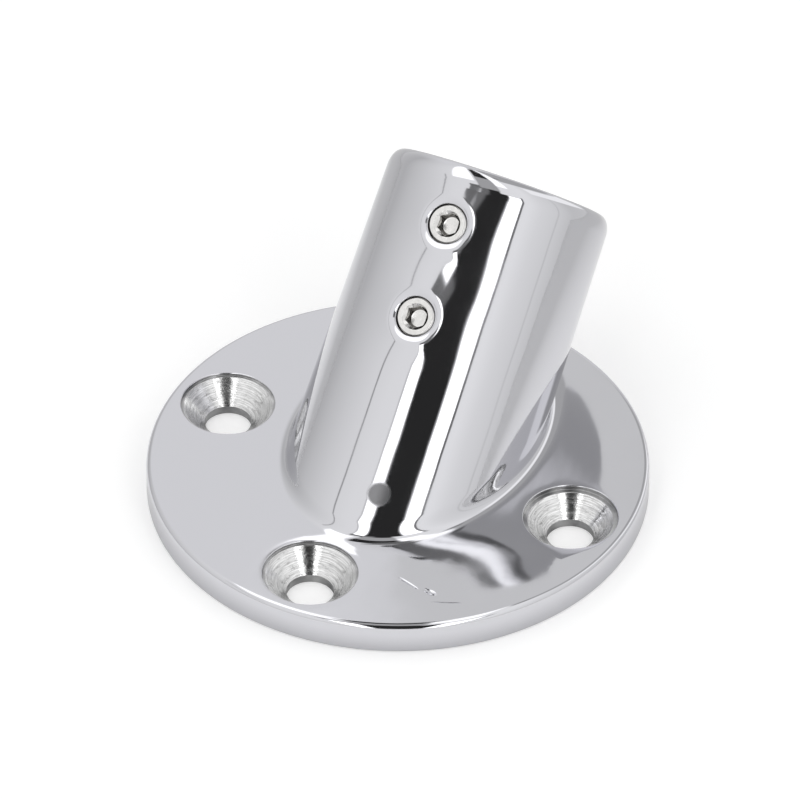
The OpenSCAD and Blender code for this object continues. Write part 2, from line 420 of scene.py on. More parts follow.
class Surface:
    """Vertices, normals and faces of one mesh, gathered ring by ring and patch by patch."""

    def __init__(self):
        self.points, self.normals, self.quads, self.slots, self.cuts = [], [], [], [], []
        self.count = 0

    def add(self, points, normals, cut=None):
        """Adds vertices. cut is each one's place on a machined face: (round it, down it)."""
        points = np.asarray(points, float).reshape(-1, 3)
        normals = np.broadcast_to(np.asarray(normals, float), points.shape)
        cut = np.zeros((len(points), 2)) if cut is None else cut
        self.points.append(points)
        self.normals.append(normals)
        self.cuts.append(cut)
        start = self.count
        self.count += len(points)
        return np.arange(start, self.count)

    def join(self, first, second, slot):
        """Quads between two closed rings of as many vertices."""
        quads = np.stack([first, second, np.roll(second, -1), np.roll(first, -1)], -1)
        self.quads.append(quads)
        self.slots.append(np.full(len(quads), slot))

    def grow(self, ring, points, normals, slot, cut=None):
        """Adds a ring of vertices and joins it to the last one."""
        added = self.add(points, normals, cut)
        self.join(added, ring, slot)
        return added

    def fan(self, ring, slot, point, normal):
        """Triangles from a closed ring to one point. An absent fourth corner is written as -1."""
        tip = np.broadcast_to(self.add(point, normal), ring.shape)
        triangles = np.stack([tip, ring, np.roll(ring, -1), np.full(ring.shape, -1)], -1)
        self.quads.append(triangles)
        self.slots.append(np.full(len(triangles), slot))

    def lattice(self, grid, keep, row_slots):
        """Quads of a grid of vertices that closes on itself across, where keep is true."""
        right = np.roll(grid, -1, axis=1)
        quads = np.stack([grid[:-1], grid[1:], right[1:], right[:-1]], -1)
        self.quads.append(quads[keep])
        self.slots.append(np.broadcast_to(row_slots[:, None], keep.shape)[keep])

    def at(self, vertices):
        """Places of some vertices."""
        return np.concatenate(self.points)[vertices]

    def mesh(self, name, materials):
        """One mesh object of all this, in metres, with the surface's own normals.

        Its UV map holds the cut coordinates, which go on past a whole turn at the seam.
        """
        quads = np.concatenate(self.quads)
        real = quads >= 0
        used, places = np.unique(quads[real], return_inverse=True)
        quads[real] = places
        parts = self.points, self.normals, self.cuts
        points, normals, cuts = (np.concatenate(part)[used] for part in parts)
        data = bpy.data.meshes.new(name)
        faces = [quad[row].tolist() for quad, row in zip(quads, real)]
        data.from_pydata((points * METRES).tolist(), [], faces)
        data.polygons.foreach_set("material_index", np.concatenate(self.slots))
        data.polygons.foreach_set("use_smooth", np.ones(len(quads), bool))
        for material in materials:
            data.materials.append(material)
        cut = cuts[quads]
        wraps = cut[:, :2, 0] - cut[:, 2:, 0] > CUT_TURN / 2
        cut[:, 2:, 0] += np.where(wraps, CUT_TURN, 0)
        layer = data.uv_layers.new(name=CUT_MAP)
        layer.data.foreach_set("uv", cut[real].ravel())
        data.normals_split_custom_set_from_vertices(normals.tolist())
        data.update()
        piece = bpy.data.objects.new(name, data)
        bpy.context.scene.collection.objects.link(piece)
        return piece


def block_edge(grid, rows, columns):
    """Vertices round a block of a lattice: down its first column, across, up and back."""
    (top, bottom), (left, right) = rows, columns
    down, across = grid[top:bottom, left], grid[bottom, left:right]
    up, back = grid[bottom:top:-1, right], grid[top, right:left:-1]
    return np.concatenate([down, across, up, back])


def matched(loop, directions, wanted):
    """A loop of vertices reversed, and rolled so that its directions start where the wanted ones do."""
    loop, directions = loop[::-1], directions[::-1]
    apart = np.abs(np.angle(np.exp(1j * (directions - wanted[0]))))
    return np.roll(loop, -int(np.argmin(apart)))


def rounding(steps):
    """Distances past an edge at even turns of its quarter round, from the round's far end to the edge."""
    return EDGE_ROUND * (1 - np.cos(np.radians(np.linspace(90, 0, steps + 1))))


def arc_edge(corner, first, last, first_normal, last_normal, steps):
    """Points and normals of a softened edge: the curve (1-t)^2 first + 2t(1-t) corner + t^2 last."""
    for t in np.linspace(0, 1, steps + 1):
        points = (1 - t) ** 2 * first + 2 * t * (1 - t) * corner + t**2 * last
        yield points, unit(blend(first_normal, last_normal, t))


def fixing_hole(surface, grid, upper, lower, hole_angle, lip):
    """Carries a countersunk hole from a block left open in the flange's top to one in its underside."""
    centre = hole_centre(hole_angle)
    ring = block_edge(grid, *upper)
    edge = surface.at(ring) - centre
    direction = np.unwrap(np.arctan2(edge[:, 1], edge[:, 0]))
    circle, edge = round_flange(direction), edge * [1, 1, 0]

    widest = RIM_R + PATCH_MARGIN
    levels = [blend(edge, widest * circle, share) for share in THIRDS]
    past = np.append(np.linspace(PATCH_MARGIN, 2 * EDGE_ROUND, RIM_RINGS), rounding(RIM_ROUND_STEPS))
    levels += [(RIM_R + step) * circle for step in past]
    for level in levels:
        points, normals = flange_top(centre + level + FLANGE_T * UPWARD, UPWARD)
        ring = surface.grow(ring, points, normals, POLISHED)

    cone_r = HOLE_R + FLANGE_T - lip - LAND_H
    corners = [(RIM_R, FLANGE_T - RIM_DISH[1] - 2 * EDGE_ROUND), (RIM_R, FLANGE_T - lip),
               (cone_r, FLANGE_T - lip), (HOLE_R, LAND_H), (HOLE_R, 0), (HOLE_R + HOLE_MARGIN, 0)]
    profile, across = rounded_profile(corners, [TOOL_R] * 3 + [EDGE_ROUND], HOLE_STEPS)
    run = np.append(0, np.cumsum(np.linalg.norm(np.diff(profile, axis=0), axis=1)))
    for (ring_r, height), (level_n, up_n), down in zip(profile, across, run):
        cut = np.stack([direction * RIM_R, np.full(direction.shape, down)], -1)
        normals = -level_n * circle - up_n * UPWARD
        # The countersink's lip and the hole below its land take the bored steel, whose darker colour is
        # painted shade.
        slot = TURNED if LAND_H < height < FLANGE_T - lip else DRILLED
        ring = surface.grow(ring, centre + ring_r * circle + height * UPWARD, normals, slot, cut)

    goal = block_edge(grid, *lower)
    edge = surface.at(goal) - centre
    goal = matched(goal, np.arctan2(edge[:, 1], edge[:, 0]), direction)
    edge = surface.at(goal) - centre
    for share in THIRDS:
        points = centre + blend((HOLE_R + HOLE_MARGIN) * circle, edge, share)
        ring = surface.grow(ring, points, -UPWARD, GROUND)
    surface.join(goal, ring, GROUND)


def screw_hole(surface, grid, outside, inside, station):
    """Carries a set screw's hole from a block left open in the socket's wall to one in its bore."""
    centre = SOCKET_FOOT + station * ALONG
    ring = block_edge(grid, *outside)
    edge = surface.at(ring) - centre
    flat = np.stack([edge @ ALONG, edge @ SIDEWAYS], -1)
    direction = np.unwrap(np.arctan2(flat[:, 1], flat[:, 0]))
    circle = np.stack([np.cos(direction), np.sin(direction)], -1)

    widest = SCREW_HOLE_R + SCREW_DISH[0]
    levels = [blend(flat, widest * circle, share) for share in THIRDS]
    dish = blend(EDGE_ROUND, SCREW_DISH[0], np.linspace(1, 0, DISH_RINGS, endpoint=False) ** DISH_POWER)
    past = np.append(dish, rounding(DISH_ROUND_STEPS))
    levels += [(SCREW_HOLE_R + step) * circle for step in past]
    for level in levels:
        stations = station + level[:, 0]
        points, normals = wall(stations, np.pi - np.arcsin(level[:, 1] / socket_r(stations)))
        ring = surface.grow(ring, points, normals, POLISHED)

    toward = -(circle[:, :1] * ALONG + circle[:, 1:] * SIDEWAYS)

    def on_bore(level):
        """Points and normals of the bore at places given along and across it."""
        outward = out_of_socket(np.pi - np.arcsin(level[:, 1] / BORE_R))
        return centre + level[:, :1] * ALONG + BORE_R * outward, -outward

    corner = on_bore(SCREW_HOLE_R * circle)[0]
    last, last_n = on_bore((SCREW_HOLE_R + EDGE_ROUND) * circle)
    first = corner + EDGE_ROUND * UPHILL
    for points, normals in arc_edge(corner, first, last, toward, last_n, SCREW_HOLE_STEPS):
        ring = surface.grow(ring, points, normals, DRILLED)

    goal = block_edge(grid, *inside)
    edge = surface.at(goal) - centre
    goal = matched(goal, np.arctan2(edge @ SIDEWAYS, edge @ ALONG), direction)
    edge = surface.at(goal) - centre
    flat = np.stack([edge @ ALONG, edge @ SIDEWAYS], -1)
    for share in THIRDS:
        points, normals = on_bore(blend((SCREW_HOLE_R + EDGE_ROUND) * circle, flat, share))
        ring = surface.grow(ring, points, normals, DRILLED)
    surface.join(goal, ring, DRILLED)


def casting():
    """The polished casting: one closed sheet of rings round the socket's axis and round the flange.

    Each column runs from the mouth down the wall, over the fillet, the flange's top, its edge and its
    underside, and up the bore to the mouth again. A block of cells is left open at each hole.
    """
    surface = Surface()
    angle = np.arange(COLUMNS) * 2 * np.pi / COLUMNS
    outward, level = out_of_socket(angle), round_flange(angle)
    wall_top = SOCKET_LENGTH - (MOUTH_ROUND + MOUTH_MARGIN) * LIP_STRETCH
    grid, row_slots = [], []

    def row(points, normals, slot):
        """Adds one row of the lattice."""
        grid.append(surface.add(points, normals))
        row_slots.append(slot)

    corners = [(BORE_R, SOCKET_LENGTH - MOUTH_ROUND), (BORE_R, SOCKET_LENGTH - MOUTH_BEVEL),
               (BORE_R + MOUTH_BEVEL, SOCKET_LENGTH), (MOUTH_R, SOCKET_LENGTH),
               (socket_r(wall_top), SOCKET_LENGTH - MOUTH_ROUND - MOUTH_MARGIN)]
    profile, across = rounded_profile(corners, [TOOL_R, TOOL_R, MOUTH_ROUND], MOUTH_STEPS)
    lip = profile[:, 0] > BORE_R + MOUTH_BEVEL + TOOL_R
    profile[lip, 1] = SOCKET_LENGTH - (SOCKET_LENGTH - profile[lip, 1]) * LIP_STRETCH
    across[lip] = unit(across[lip] / [1, LIP_STRETCH])
    for (ring_r, station), (out_n, along_n) in zip(profile, across):
        slot = DRILLED if ring_r < BORE_R + MOUTH_BEVEL / 2 else POLISHED
        points = SOCKET_FOOT + station * ALONG + ring_r * outward
        row(points, out_n * outward + along_n * ALONG, slot)

    wall_foot = touch_station(ball_r(angle), angle) + soft_run(angle)
    uphill_foot = wall_foot[COLUMNS // 2]
    stops = [wall_top, UPPER_SCREW_AT + SCREW_BLOCK, UPPER_SCREW_AT - SCREW_BLOCK,
             LOWER_SCREW_AT + SCREW_BLOCK, LOWER_SCREW_AT - SCREW_BLOCK, uphill_foot]
    wall_start = len(grid) - 1
    for stop in spaced(stops, WALL_ROWS)[1:-1]:
        share = (wall_top - stop) / (wall_top - uphill_foot)
        row(*wall(blend(wall_top, wall_foot, share), angle), POLISHED)
    outside = [wall_start + sum(WALL_ROWS[:1]), wall_start + sum(WALL_ROWS[:3])]

    for share in np.linspace(1, 0, FILLET_ROWS + 1):
        shares = np.full_like(angle, share)
        row(*flange_top(fillet(angle, shares), fillet_normals(angle, shares)), POLISHED)

    foot = fillet(angle, np.zeros_like(angle))
    rim = (FLANGE_R - FLANGE_TOP_ROUND) * level + FLANGE_T * UPWARD
    top_start = len(grid) - 1 + TOP_ROWS[0]
    for share in spaced(TOP_STOPS, TOP_ROWS)[1:-1]:
        row(*flange_top(blend(foot, rim, share), UPWARD), POLISHED)

    corners = [(FLANGE_R - FLANGE_TOP_ROUND - TOP_EDGE, FLANGE_T), (FLANGE_R, FLANGE_T), (FLANGE_R, 0),
               (FLANGE_R - FLANGE_BOTTOM_ROUND - BOTTOM_EDGE, 0)]
    profile, across = rounded_profile(corners, [FLANGE_TOP_ROUND, FLANGE_BOTTOM_ROUND], RIM_STEPS)
    for (ring_r, height), (level_n, up_n) in zip(profile, across):
        row(*flange_top(ring_r * level + height * UPWARD, level_n * level + up_n * UPWARD), POLISHED)
    row_slots[-1] = GROUND

    edge_r = np.stack([np.full_like(angle, BORE_R / math.cos(LEAN)), np.full_like(angle, BORE_R)], -1)
    bore_edge = np.zeros_like(level)
    bore_edge[:, :2] = edge_r * level[:, :2]
    away = np.zeros_like(level)
    away[:, :2] = unit(level[:, :2] / edge_r)
    bore_edge = SOCKET_FOOT + bore_edge
    outline = surface.at(grid[-1])
    under_start = len(grid) - 1 + UNDER_ROWS[0]
    for share in spaced(UNDER_STOPS, UNDER_ROWS)[1:-1]:
        row(blend(outline, bore_edge + UNDER_EDGE * away, share), -UPWARD, GROUND)
    edge = arc_edge(bore_edge, bore_edge + UNDER_EDGE * away, bore_edge + UNDER_EDGE * ALONG,
                    -UPWARD, -outward, UNDER_STEPS)
    for points, normals in edge:
        row(points, normals, GROUND)
    row_slots[-1] = DRILLED

    bore_foot = BORE_R * math.tan(LEAN) * np.cos(angle) + UNDER_EDGE
    bore_top = SOCKET_LENGTH - MOUTH_ROUND
    stops = [bore_foot[COLUMNS // 2], LOWER_SCREW_AT - BORE_BLOCK, LOWER_SCREW_AT + BORE_BLOCK,
             UPPER_SCREW_AT - BORE_BLOCK, UPPER_SCREW_AT + BORE_BLOCK, bore_top]
    bore_start = len(grid) - 1
    for stop in spaced(stops, BORE_ROWS)[1:-1]:
        share = (stop - stops[0]) / (bore_top - stops[0])
        station = blend(bore_foot, bore_top, share)[:, None]
        row(SOCKET_FOOT + station * ALONG + BORE_R * outward, -outward, DRILLED)
    inside = [bore_start + sum(BORE_ROWS[:3]), bore_start + BORE_ROWS[0]]

    grid = np.array(grid + grid[:1])
    row_slots = np.array(row_slots)
    places = surface.at(grid)
    opened = []
    half = SCREW_COLUMNS // 2
    columns = (COLUMNS // 2 - half, COLUMNS // 2 + half)
    for station, first, second in zip(SCREW_STATIONS, outside, inside):
        blocks = [((first, first + SCREW_ROWS), columns), ((second, second + SCREW_ROWS), columns)]
        screw_hole(surface, grid, *blocks, station)
        opened += blocks
    for hole_angle, lip in FIXING_HOLES:
        centre = hole_centre(hole_angle)
        upper = (top_start, top_start + HOLE_ROWS)
        lower = (under_start, under_start + HOLE_ROWS)
        distance = np.linalg.norm((places - centre)[..., :2], axis=-1)
        over = np.flatnonzero(distance[slice(*upper)].min(axis=0) < RIM_R + 2 * PATCH_MARGIN)
        columns = (over[0] - 1, over[-1] + 1)
        middle = int(np.argmin(distance[slice(*lower)].min(axis=0)))
        left = middle - (columns[1] - columns[0]) // 2
        blocks = [(upper, columns), (lower, (left, left + columns[1] - columns[0]))]
        fixing_hole(surface, grid, *blocks, hole_angle, lip)
        opened += blocks
    keep = np.ones((len(grid) - 1, COLUMNS), bool)
    for rows, sides in opened:
        keep[slice(*rows), slice(*sides)] = False
    surface.lattice(grid, keep, row_slots)
    return surface


def hexagon():
    """Directions round a set screw's axis, with the hexagon's reach and its wall's normal at each.

    A side lies at x = KEY_FLAT_R, evenly spaced in y, and each corner is an arc of radius KEY_CORNER
    about the point that far inside both sides. The side is then turned to 30, 90 ... 330 degrees.
    """
    half = (KEY_FLAT_R - KEY_CORNER) * math.tan(math.radians(30))
    arc = np.radians([15, 30, 45])
    flat = np.stack([np.full(KEY_POINTS, KEY_FLAT_R), np.linspace(-half, half, KEY_POINTS)], -1)
    corner_n = np.stack([np.cos(arc), np.sin(arc)], -1)
    corner = np.array([KEY_FLAT_R - KEY_CORNER, half]) + KEY_CORNER * corner_n
    places = np.concatenate([flat, corner])
    normals = np.concatenate([np.broadcast_to([1.0, 0.0], flat.shape), corner_n])
    turns = np.radians(np.arange(30, 390, 60))[:, None]

    def turned(vectors):
        """Those vectors at each of the six sides."""
        x, y = vectors.T
        level = x * np.cos(turns) - y * np.sin(turns), x * np.sin(turns) + y * np.cos(turns)
        return np.stack(level, -1).reshape(-1, 2)

    places = turned(places)
    direction = np.unwrap(np.arctan2(places[:, 1], places[:, 0]))
    return direction, np.linalg.norm(places, axis=1), turned(normals)


def threaded(direction, depth):
    """Radius of the screw's threaded side, at a direction round it and a depth below its face.

    A right-hand helix, radius = SCREW_R - THREAD_DEPTH * valley(depth / pitch + direction / (2 * pi)),
    where valley is 1/2 - asin(s * cos(2 * pi * u)) / (2 * asin(s)), and s rounds its tips. It fades
    out at both ends, and never passes their bevels.
    """
    turn = depth / THREAD_PITCH + direction / (2 * np.pi)
    wave = np.arcsin(THREAD_SOFT * np.cos(2 * np.pi * turn)) / (2 * math.asin(THREAD_SOFT))
    to_end = np.minimum(depth, SCREW_LENGTH - depth)
    fade = np.clip(to_end / THREAD_FADE, 0, 1)
    return np.minimum(SCREW_R - THREAD_DEPTH * fade * (0.5 - wave), SCREW_R - SCREW_BEVEL + to_end)


def set_screw(station):
    """A headless set screw, as rings about its axis.

    They run from the drill point under its hexagon socket up that socket, over the bevel of its mouth
    and the face, down the thread, and into the cone in its tip.
    """
    surface = Surface()
    direction, key_r, key_side = hexagon()
    circle = np.cos(direction)[:, None] * ALONG + np.sin(direction)[:, None] * SIDEWAYS
    tangent = np.cos(direction)[:, None] * SIDEWAYS - np.sin(direction)[:, None] * ALONG
    key_wall = -(key_side[:, :1] * ALONG + key_side[:, 1:] * SIDEWAYS)
    face = SOCKET_FOOT + station * ALONG + (socket_r(station) - SCREW_INSET) * UPHILL
    level = np.zeros_like(circle)

    mouth_r = KEY_FLAT_R / math.cos(math.radians(30)) + KEY_BEVEL
    meet = mouth_r - key_r
    rings = [(KEY_FLOOR_R - KEY_EDGE, KEY_DEPTH, -KEY_FLOOR_SLOPE * circle + UPHILL),
             (KEY_FLOOR_R, KEY_DEPTH - KEY_EDGE, level + UPHILL),
             (key_r - KEY_EDGE, KEY_DEPTH - 3 * KEY_EDGE, level + UPHILL),
             (key_r, KEY_DEPTH - 4 * KEY_EDGE, key_wall), (key_r, meet + KEY_EDGE, key_wall),
             (key_r + KEY_EDGE, meet - KEY_EDGE, UPHILL - circle),
             (mouth_r - KEY_EDGE, KEY_EDGE, UPHILL - circle), (mouth_r + KEY_EDGE, 0, level + UPHILL),
             (SCREW_R - SCREW_BEVEL - KEY_EDGE, 0, level + UPHILL)]
    for depth in np.linspace(KEY_EDGE, SCREW_LENGTH - KEY_EDGE, THREAD_RINGS):
        radius = threaded(direction, depth)
        down = (threaded(direction, depth + HAIR) - threaded(direction, depth - HAIR)) / (2 * HAIR)
        round_it = (threaded(direction + HAIR, depth) - threaded(direction - HAIR, depth)) / (2 * HAIR)
        facing = circle + down[:, None] * UPHILL - (round_it / radius)[:, None] * tangent
        rings.append((radius, depth, facing))
    rings += [(SCREW_R - SCREW_BEVEL - KEY_EDGE, SCREW_LENGTH, level - UPHILL),
              (CUP_R + KEY_EDGE, SCREW_LENGTH, level - UPHILL),
              (CUP_R - KEY_EDGE, SCREW_LENGTH - KEY_EDGE * DRILL_SLOPE, -DRILL_SLOPE * circle - UPHILL)]

    last = None
    for place, (radius, depth, normals) in enumerate(rings):
        radius, depth = (np.broadcast_to(value, direction.shape) for value in (radius, depth))
        points = face - depth[:, None] * UPHILL + radius[:, None] * circle
        cut = np.stack([direction * RIM_R, radius + depth], -1)
        ring = surface.add(points, unit(normals), cut)
        if last is None:
            bottom = KEY_DEPTH + KEY_FLOOR_R * KEY_FLOOR_SLOPE
            surface.fan(ring, 0, face - bottom * UPHILL, UPHILL)
        else:
            # Slot 1 holds the hexagon's walls, in darker steel as painted shade.
            surface.join(last, ring, int(place in KEY_WALL_RINGS))
        last = ring
    surface.fan(last[::-1], 0, face - (SCREW_LENGTH - CUP_R * DRILL_SLOPE) * UPHILL, -UPHILL)
    return surface


def colour(code):
    """Linear colour of an sRGB hex value, such as "D2D2D5"."""
    shares = [int(code[i:i + 2], 16) / 255 for i in (0, 2, 4)]
    return [s / 12.92 if s <= 0.04045 else ((s + 0.055) / 1.055) ** 2.4 for s in shares] + [1.0]


# The output of a Mix node that mixes colours
MIXED = 2


def add(tree, kind, inputs=(), out=0, **settings):
    """Adds a shader node with its settings, sets or links each of its inputs, and gives one output."""
    made = tree.nodes.new("ShaderNode" + kind)
    for name, value in settings.items():
        setattr(made, name, value)
    for name, value in dict(inputs).items():
        if isinstance(value, bpy.types.NodeSocket):
            tree.links.new(value, made.inputs[name])
        else:
            made.inputs[name].default_value = value
    return made.outputs[out]


def new_material(name, shader):
    """A node material, whose surface is what the shader function gives for its tree."""
    material = bpy.data.materials.new(name)
    material.use_nodes = True
    tree = material.node_tree
    tree.nodes.clear()
    surface_out = tree.nodes.new("ShaderNodeOutputMaterial").inputs[0]
    tree.links.new(shader(tree), surface_out)
    return material


def metal(name, finish):
    """A material of bare metal, with the shader's inputs that its finish gives."""
    return new_material(name, lambda tree: add(tree, "BsdfPrincipled", {"Metallic": 1.0, **finish(tree)}))


def step_range(value, at, soft, rising=True):
    """A value and its ranges for a smooth step at a place, from 0 to 1, or back down."""
    return {"Value": value, "From Min": at - soft / 2, "From Max": at + soft / 2,
            "To Min": 0.0 if rising else 1.0, "To Max": 1.0 if rising else 0.0}


def worked_steel(tree, tone, dark, bright, rough, marks):
    """The finish of steel whose tone lies between two colours, with the shallow marks of a tool."""
    shade = add(tree, "Mix", {"Factor": tone, "A": colour(dark), "B": colour(bright)}, MIXED,
                data_type="RGBA")
    relief = add(tree, "Bump", {"Height": marks, "Distance": MARK_DEPTH * METRES})
    return {"Base Color": shade, "Roughness": rough, "Normal": relief}


def polished_steel(tree):
    """Cast stainless steel, ground and buffed by hand to a mirror.

    It reflects the studio sharply, with the slow waves that a soft wheel leaves, about 9 mm and 2 mm
    apart, and a faint haze in cloudy patches where the buffing compound was wiped off. One spot is dull,
    and there are a few nicks. Here, as in each finish, a noise's scale is its features in a millimetre.
    """
    place = add(tree, "TexCoord", out="Object")
    slow = add(tree, "TexNoise", {"Vector": place, "Scale": 0.11 / METRES, "Detail": 1.0})
    quick = add(tree, "TexNoise", {"Vector": place, "Scale": 0.52 / METRES, "Detail": 2.0})
    waves = add(tree, "Bump", {"Height": slow, "Distance": 0.04 * METRES})
    normal = add(tree, "Bump", {"Height": quick, "Distance": 0.0014 * METRES, "Normal": waves})
    patches = add(tree, "TexNoise", {"Vector": place, "Scale": 0.07 / METRES, "Detail": 3.0})
    haze = add(tree, "MapRange", {"Value": patches, "From Min": 0.35, "From Max": 0.7,
                                  "To Min": 0.035, "To Max": 0.1})
    station, sideways = np.array(DULL_SPOT_AT)
    middle = on_wall(station, np.pi - np.arcsin(sideways / socket_r(station)))
    apart = add(tree, "VectorMath", {0: place, 1: (middle * METRES).tolist()}, "Value", operation="DISTANCE")
    spot = add(tree, "MapRange", step_range(apart, DULL_SPOT_R * METRES, DULL_SPOT_SOFT * METRES, False),
               interpolation_type="SMOOTHSTEP")
    shade = add(tree, "Mix", {"Factor": spot, "A": colour("D2D2D6"), "B": colour("7C7C7E")}, MIXED,
                data_type="RGBA")
    rough = add(tree, "Mix", {"Factor": spot, "A": haze, "B": 0.3})
    for (x, y), turn, (half_length, half_width) in NICKS:
        there = {"Location": [METRES * n for n in (x, y, FLANGE_T)],
                 "Rotation": (0.0, 0.0, math.radians(turn)),
                 "Scale": [METRES * n for n in (half_length, half_width, 1)]}
        nick = add(tree, "Mapping", {"Vector": place, **there}, vector_type="TEXTURE")
        apart = add(tree, "VectorMath", {0: nick}, "Value", operation="LENGTH")
        rise = add(tree, "MapRange", step_range(apart, NICK_SIDE, NICK_SOFT),
                   interpolation_type="SMOOTHSTEP")
        normal = add(tree, "Bump", {"Height": rise, "Distance": NICK_DEPTH * METRES, "Normal": normal})
    return {"Base Color": shade, "Roughness": rough, "Normal": normal}


def turned_steel(tree):
    """Stainless steel cut by a countersink: rings of feed marks, with torn and darker patches.

    The marks spread a highlight across themselves, so that it fans out from the hole. The real feed is
    about 0.12 mm a turn, and it is drawn 0.2 mm apart so that it shows.
    """
    place = add(tree, "UVMap", uv_map=CUT_MAP)
    marks = add(tree, "Mapping", {"Vector": place, "Scale": (0.16, 4.5, 1.0)})
    feed = add(tree, "TexNoise", {"Vector": marks, "Scale": 1.0, "Detail": 3.0, "Roughness": 0.65})
    patches = add(tree, "Mapping", {"Vector": place, "Scale": (0.45, 1.3, 1.0)})
    torn = add(tree, "TexNoise", {"Vector": patches, "Scale": 1.0, "Detail": 6.0, "Roughness": 0.7})
    dark = add(tree, "MapRange", {"Value": torn, "From Min": 0.54, "From Max": 0.74})
    lines = add(tree, "MapRange", {"Value": feed, "From Min": 0.35, "From Max": 0.68})
    bright = add(tree, "Mix", {"Factor": lines, "A": colour("F8F8F8"), "B": colour("BEBEBE")}, MIXED,
                 data_type="RGBA")
    shade = add(tree, "Mix", {"Factor": dark, "A": bright, "B": colour("7E7E7D")}, MIXED, data_type="RGBA")
    rough = add(tree, "MapRange", {"Value": torn, "From Min": 0.4, "From Max": 0.7,
                                   "To Min": 0.13, "To Max": 0.34})
    ridges = add(tree, "Bump", {"Height": feed, "Distance": 0.02 * METRES})
    tears = add(tree, "Bump", {"Height": torn, "Distance": 0.03 * METRES, "Normal": ridges})
    round_it = add(tree, "Tangent", direction_type="UV_MAP", uv_map=CUT_MAP)
    return {"Base Color": shade, "Roughness": rough, "Anisotropic": 0.85, "Anisotropic Rotation": 0.25,
            "Tangent": round_it, "Normal": tears}


def ground_steel(tree):
    """Stainless steel faced on a belt grinder: straight scratches, 0.1 to 0.3 mm apart, along the lean."""
    place = add(tree, "TexCoord", out="Object")
    grit = add(tree, "Mapping", {"Vector": place, "Scale": [n / METRES for n in (0.06, 4.5, 0.06)]})
    scratches = add(tree, "TexNoise", {"Vector": grit, "Scale": 1.0, "Detail": 3.0})
    rough = add(tree, "MapRange", {"Value": scratches, "To Min": 0.25, "To Max": 0.45})
    return worked_steel(tree, scratches, "8E8E90", "DADADC", rough, scratches)


def bored_steel_painted_shade(tree):
    """Stainless steel bored and drilled, with faint rings of the tool's feed; its darker colour is painted
    shade.
    """
    place = add(tree, "TexCoord", out="Object")
    along = add(tree, "VectorMath", {0: place, 1: ALONG.tolist()}, "Value", operation="DOT_PRODUCT")
    feed = add(tree, "TexNoise", {"W": along, "Scale": 2.5 / METRES, "Detail": 2.0}, noise_dimensions="1D")
    stain = add(tree, "TexNoise", {"Vector": place, "Scale": 0.3 / METRES, "Detail": 4.0})
    cloud = add(tree, "MapRange", {"Value": stain, "From Min": 0.32, "From Max": 0.68})
    return worked_steel(tree, cloud, "8E8E8F", "D2D2D2", 0.32, feed)


def broached_steel_painted_shade(tree):
    """Stainless steel of the hexagon's punched walls, dull with the punch's drag lines, and darkened as
    painted shade in the socket.
    """
    place = add(tree, "TexCoord", out="Object")
    drag = add(tree, "TexNoise", {"Vector": place, "Scale": 2.5 / METRES, "Detail": 2.0})
    shade = add(tree, "Mix", {"Factor": drag, "A": colour("5A5956"), "B": colour("A5A39F")}, MIXED,
                data_type="RGBA")
    return {"Base Color": shade, "Roughness": 0.22}


def screw_stainless(tree):
    """Stainless steel of a cold-formed set screw: bright and slightly warm, softly dimpled by tumbling."""
    place = add(tree, "TexCoord", out="Object")
    dimples = add(tree, "TexNoise", {"Vector": place, "Scale": 1.5 / METRES, "Detail": 3.0})
    rough = add(tree, "MapRange", {"Value": dimples, "From Min": 0.3, "From Max": 0.7,
                                   "To Min": 0.08, "To Max": 0.2})
    return worked_steel(tree, dimples, "D0CFCD", "F2F1EF", rough, dimples)


# Camera: the photograph's, fitted to the part, in millimetres, with its clipping distances in metres
CAMERA_AT = np.array([-882.42, -442.80, 850.28])
CAMERA_TARGET = np.array([0.121, -0.241, 16.56])
CAMERA_ROLL = math.radians(0.24)
CAMERA_FOCAL, PICTURE = 8723.75, 800
SENSOR = 36.0
CLIP_START, CLIP_END = 0.01, 50.0

forward = unit(CAMERA_TARGET - CAMERA_AT)
right = unit(np.cross(forward, UPWARD))
up = np.cross(right, forward)
rolled_right = math.cos(CAMERA_ROLL) * right + math.sin(CAMERA_ROLL) * up
rolled_up = math.cos(CAMERA_ROLL) * up - math.sin(CAMERA_ROLL) * right
camera_data = bpy.data.cameras.new("camera")
camera_data.sensor_width = SENSOR
camera_data.lens = CAMERA_FOCAL / PICTURE * SENSOR
camera_data.clip_start, camera_data.clip_end = CLIP_START, CLIP_END
camera = bpy.data.objects.new("camera", camera_data)
placing = np.eye(4)
placing[:3] = np.stack([rolled_right, rolled_up, -forward, CAMERA_AT * METRES], -1)
camera.matrix_world = mathutils.Matrix(placing.tolist())
bpy.context.scene.collection.objects.link(camera)
bpy.context.scene.camera = camera
bpy.context.scene.view_settings.view_transform = "Standard"

world = bpy.data.worlds.new("white_studio")
world.use_nodes = True
world.node_tree.nodes.clear()
world_out = world.node_tree.nodes.new("ShaderNodeOutputWorld")
white = add(world.node_tree, "Background", {"Color": colour("FFFFFF"), "Strength": 1.0})
world.node_tree.links.new(white, world_out.inputs[0])
bpy.context.scene.world = world


def studio_place(tree):
    """Where a point of the tent lies, in degrees: its turn round the strips' axis, and its tilt from it.

    turn = atan2(v . right, v . top) and tilt = acos(v . axis), where v is the unit vector to the point
    from the part's middle.
    """
    place = add(tree, "TexCoord", out="Object")
    away = add(tree, "VectorMath", {0: place, 1: TENT_MIDDLE * METRES}, operation="SUBTRACT")
    ray = add(tree, "VectorMath", {0: away}, operation="NORMALIZE")
    shares = [add(tree, "VectorMath", {0: ray, 1: axis}, "Value", operation="DOT_PRODUCT")
              for axis in (right, TENT_TOP, TENT_AXIS)]
    turn = add(tree, "Math", {0: shares[0], 1: shares[1]}, operation="ARCTAN2")
    tilt = add(tree, "Math", {0: shares[2]}, operation="ARCCOSINE")
    return [add(tree, "Math", {0: angle}, operation="DEGREES") for angle in (turn, tilt)]


